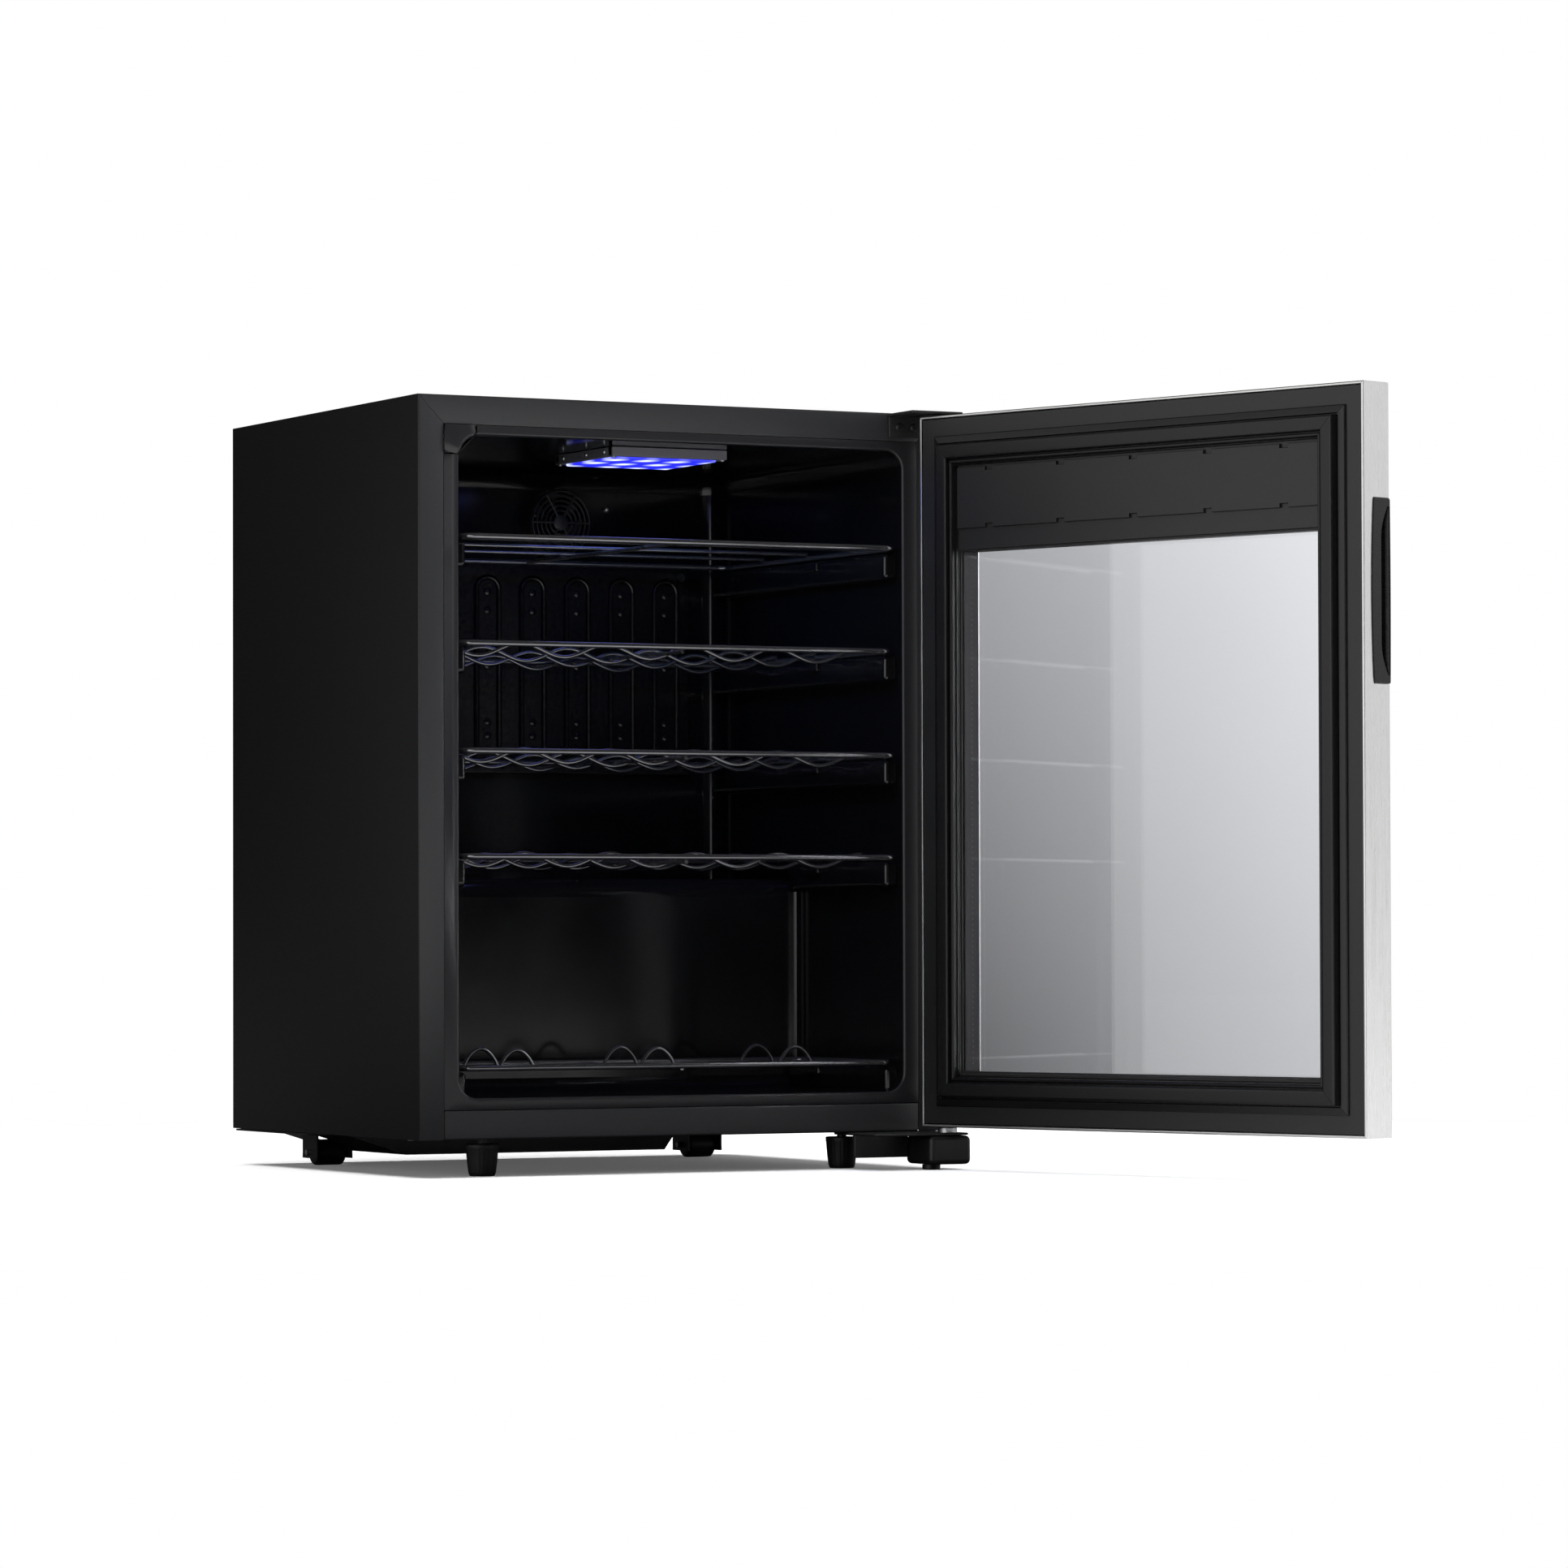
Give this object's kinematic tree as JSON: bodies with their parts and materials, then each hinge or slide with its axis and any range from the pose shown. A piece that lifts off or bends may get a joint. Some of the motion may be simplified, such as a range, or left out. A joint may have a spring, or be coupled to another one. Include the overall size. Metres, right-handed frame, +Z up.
{
  "type": "mini fridge",
  "caption": "Free-standing mini fridge: black steel case, glass door on side hinges, wire bottle shelves that slide out, lamp, fan and compressor.",
  "frame": {"origin": "on the floor under the middle of the box round the fridge with its door open 107.8 degrees", "axes": "+Z up, +X to the right seen from the front, +Y to the back; the shut door faces -Y"},
  "size_m": [0.621, 0.873, 0.632],
  "materials": {
    "painted_steel": "satin black enamel",
    "zinc_steel": "zinc plated sheet",
    "stainless": "brushed stainless steel",
    "liner": "glossy black moulded plastic",
    "foam": "rigid polyurethane foam",
    "evaporator": "dark coated roll-bonded aluminium",
    "wire": "glossy black coated wire",
    "black_plastic": "fine textured black plastic",
    "grey_plastic": "satin grey plastic",
    "lens": "milky lamp lens",
    "circuit": "printed circuit board",
    "rubber": "matt black rubber",
    "glass": "clear toughened glass",
    "compressor_paint": "black painted steel",
    "copper": "bare copper tube"
  },
  "bodies": {
    "case": {"left_side_panel": "painted_steel", "right_side_panel": "painted_steel", "top_panel": "painted_steel", "back_panel": "painted_steel", "bottom_front_rail": "painted_steel", "top_hinge_bracket": "painted_steel", "bottom_hinge_bracket": "painted_steel", "left_roller_bracket": "painted_steel", "right_roller_bracket": "painted_steel", "base_plate": "zinc_steel", "bay_panel": "zinc_steel", "compressor_base": "zinc_steel", "left_axle": "zinc_steel", "right_axle": "zinc_steel", "inner_liner": "liner", "insulation_foam": "foam", "evaporator_plate": "evaporator", "fan_housing": "black_plastic", "fan_grille": "black_plastic", "bottom_hinge_block": "black_plastic", "relay_cover": "black_plastic", "drip_tray": "black_plastic", "lamp_housing": "grey_plastic", "lamp_lens": "lens", "led_board": "circuit", "hinge_foot": "rubber", "grommet_front_left": "rubber", "grommet_rear_left": "rubber", "grommet_front_right": "rubber", "grommet_rear_right": "rubber", "cord_gland": "rubber", "compressor": "compressor_paint", "suction_pipe": "copper", "discharge_pipe": "copper", "filter_drier": "copper", "condenser_pipe": "copper"},
    "door": {"door_top_rail": "stainless", "door_bottom_rail": "stainless", "door_hinge_stile": "stainless", "door_handle_stile": "stainless", "door_inner_frame": "black_plastic", "control_cover": "black_plastic", "control_board": "circuit", "door_gasket": "rubber", "inner_glass": "glass", "outer_glass": "glass", "glass_spacer": "zinc_steel", "pocket_handle": "black_plastic", "top_door_bush": "grey_plastic", "bottom_door_bush": "grey_plastic"},
    "wire_shelf_1": {"wire_shelf_1": "wire"},
    "wire_shelf_2": {"wire_shelf_2": "wire"},
    "wire_shelf_3": {"wire_shelf_3": "wire"},
    "wire_shelf_4": {"wire_shelf_4": "wire"},
    "bottom_rack": {"bottom_rack": "wire"},
    "fan_rotor": {"fan_rotor": "black_plastic"},
    "front_left_foot": {"front_left_foot": "black_plastic"},
    "front_right_foot": {"front_right_foot": "black_plastic"},
    "left_roller": {"left_roller": "black_plastic"},
    "right_roller": {"right_roller": "black_plastic"}
  },
  "joints": [
    {"name": "door_swing", "type": "hinge", "parent": "case", "child": "door", "pos_m": [0.15768, 0.01342, 0.33], "axis": [0, 0, 1], "range_deg": [-107.8, 12]},
    {"name": "shelf_1_slide", "type": "slide", "parent": "case", "child": "wire_shelf_1", "axis": [0, -1, 0], "range_m": [0, 0.24]},
    {"name": "shelf_2_slide", "type": "slide", "parent": "case", "child": "wire_shelf_2", "axis": [0, -1, 0], "range_m": [0, 0.24]},
    {"name": "shelf_3_slide", "type": "slide", "parent": "case", "child": "wire_shelf_3", "axis": [0, -1, 0], "range_m": [0, 0.24]},
    {"name": "shelf_4_slide", "type": "slide", "parent": "case", "child": "wire_shelf_4", "axis": [0, -1, 0], "range_m": [0, 0.24]},
    {"name": "rack_slide", "type": "slide", "parent": "case", "child": "bottom_rack", "axis": [0, -1, 0], "range_m": [0, 0.12]},
    {"name": "fan_spin", "type": "hinge", "parent": "case", "child": "fan_rotor", "pos_m": [-0.02752, 0.37932, 0.5555], "axis": [0, 1, 0], "continuous": true},
    {"name": "front_left_foot_turn", "type": "hinge", "parent": "case", "child": "front_left_foot", "pos_m": [-0.23652, 0.08382, 0.015], "axis": [0, 0, 1], "continuous": true},
    {"name": "front_right_foot_turn", "type": "hinge", "parent": "case", "child": "front_right_foot", "pos_m": [0.09548, 0.08382, 0.015], "axis": [0, 0, 1], "continuous": true},
    {"name": "left_roller_turn", "type": "hinge", "parent": "case", "child": "left_roller", "pos_m": [-0.24752, 0.37382, 0.011], "axis": [1, 0, 0], "continuous": true},
    {"name": "right_roller_turn", "type": "hinge", "parent": "case", "child": "right_roller", "pos_m": [0.10648, 0.37382, 0.011], "axis": [1, 0, 0], "continuous": true}
  ]
}
